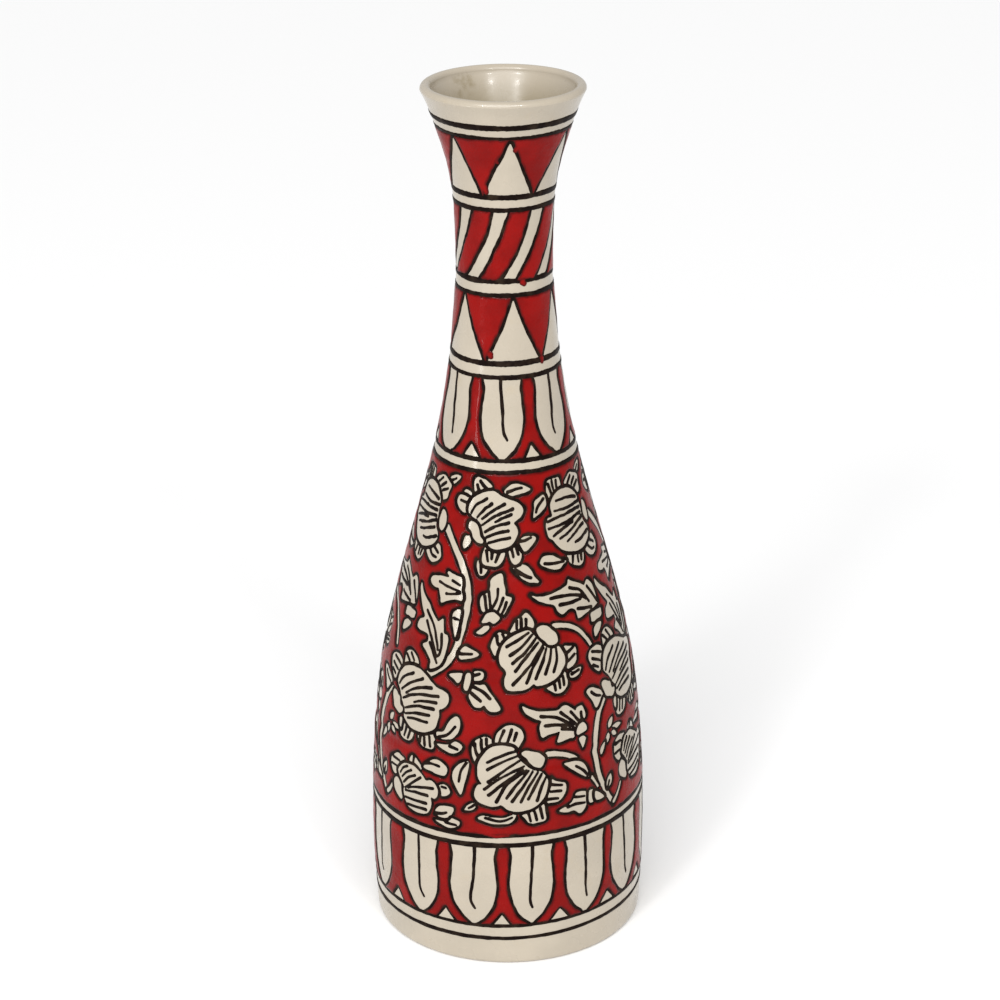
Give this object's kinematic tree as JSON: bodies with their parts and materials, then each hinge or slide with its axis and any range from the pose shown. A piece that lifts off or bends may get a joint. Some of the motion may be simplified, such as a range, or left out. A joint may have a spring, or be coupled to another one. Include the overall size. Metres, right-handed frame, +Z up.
{
  "type": "hand-painted pottery vase",
  "caption": "Slender bottle vase with a wide flat foot, long shoulder, narrow neck and flared lip, painted with red and black flowers, petals and stripes over cream glaze.",
  "frame": {"origin": "middle of the foot's resting plane, on the vase's axis", "axes": "+Z up along the axis to the mouth; -Y is the side seen first, +X to its right"},
  "size_m": [0.0982, 0.0986, 0.305],
  "materials": {
    "fired_clay": "matte",
    "inside_glaze": "gloss",
    "cream_glaze": "gloss",
    "red_enamel": "gloss",
    "black_enamel": "gloss"
  },
  "bodies": {
    "root": {"clay_body": "fired_clay", "inner_glaze": "inside_glaze", "outer_glaze": "cream_glaze", "lip_rings": "black_enamel", "upper_triangles_red": "red_enamel", "upper_triangles_outline": "black_enamel", "upper_collar_rings": "black_enamel", "spiral_stripes_red": "red_enamel", "spiral_stripes_outline": "black_enamel", "middle_collar_rings": "black_enamel", "lower_triangles_red": "red_enamel", "lower_triangles_outline": "black_enamel", "lower_collar_rings": "black_enamel", "neck_petals_red": "red_enamel", "neck_petals_outline": "black_enamel", "shoulder_rings": "black_enamel", "floral_ground_red": "red_enamel", "floral_flowers_outline": "black_enamel", "floral_leaves_outline": "black_enamel", "floral_vines_outline": "black_enamel", "waist_rings": "black_enamel", "foot_petals_red": "red_enamel", "foot_petals_outline": "black_enamel", "foot_rings": "black_enamel"}
  },
  "joints": []
}
